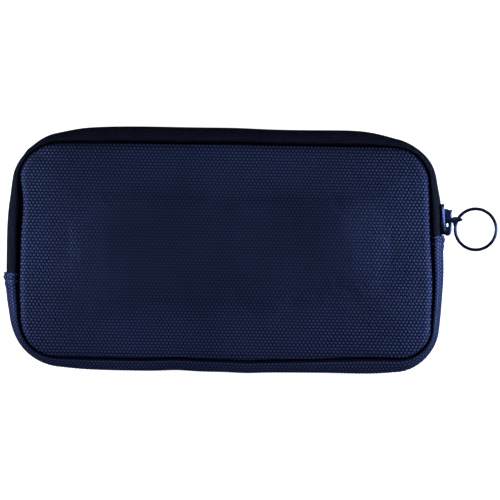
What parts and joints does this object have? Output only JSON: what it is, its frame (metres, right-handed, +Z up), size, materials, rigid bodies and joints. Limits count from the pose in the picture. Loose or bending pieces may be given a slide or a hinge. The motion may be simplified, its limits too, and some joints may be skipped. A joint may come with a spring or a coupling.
{
  "type": "travel document organizer",
  "caption": "Flat padded travel document case with a raised-weave fabric, a zip round its upper half, a gusset below and a ring puller.",
  "frame": {"origin": "middle of the back panel's flat resting face", "axes": "+X to the side with the ring, +Y to the closing side, +Z up through the front panel"},
  "size_m": [0.2562, 0.1259, 0.026],
  "materials": {
    "outer_fabric": "raised honeycomb weave, matt with a slight sheen",
    "zip_tape": "fine rib, matt",
    "lining": "plain weave, matt",
    "foam": "open cell foam, matt",
    "coil": "nylon, satin",
    "coated_metal": "coated zinc, satin",
    "elastic": "ribbed elastic, matt"
  },
  "bodies": {
    "case": {"back_panel": "outer_fabric", "back_foam": "foam", "back_lining": "lining", "front_panel_base": "outer_fabric", "front_foam_base": "foam", "front_lining_base": "lining", "gusset_strip": "outer_fabric", "gusset_lining": "lining", "strip_hem_right": "outer_fabric", "strip_hem_left": "outer_fabric", "zip_tape_back": "zip_tape", "zip_tape_ends": "zip_tape", "zip_coil_back": "coil", "zip_coil_end": "coil", "top_stop": "coated_metal", "bottom_stop": "coated_metal", "document_pocket": "lining", "passport_pocket": "lining", "card_slot_high": "lining", "card_slot_middle": "lining", "card_slot_low": "lining", "card_binding": "elastic", "pen_loop": "elastic"},
    "flap": {"front_panel_flap": "outer_fabric", "front_foam_flap": "foam", "front_lining_flap": "lining", "zip_tape_flap": "zip_tape", "zip_coil_flap": "coil"},
    "slider": {"slider": "coated_metal"},
    "puller": {"puller": "coated_metal"},
    "ring": {"pull_ring": "coated_metal"}
  },
  "joints": [
    {"name": "flap_fold", "type": "hinge", "parent": "case", "child": "flap", "pos_m": [0, 0.01, 0.026], "axis": [1, 0, 0], "range_deg": [0, 55]},
    {"name": "slider_run", "type": "slide", "parent": "case", "child": "slider", "axis": [0, 1, 0], "range_m": [0, 0.017]},
    {"name": "puller_swing", "type": "hinge", "parent": "slider", "child": "puller", "pos_m": [0.1164, 0.0177, 0.013], "axis": [0, 0, 1], "range_deg": [0, 40]},
    {"name": "ring_swing", "type": "hinge", "parent": "puller", "child": "ring", "pos_m": [0.1213, 0.0177, 0.013], "axis": [0.454, 0.891, 0], "range_deg": [-60, 60]}
  ]
}
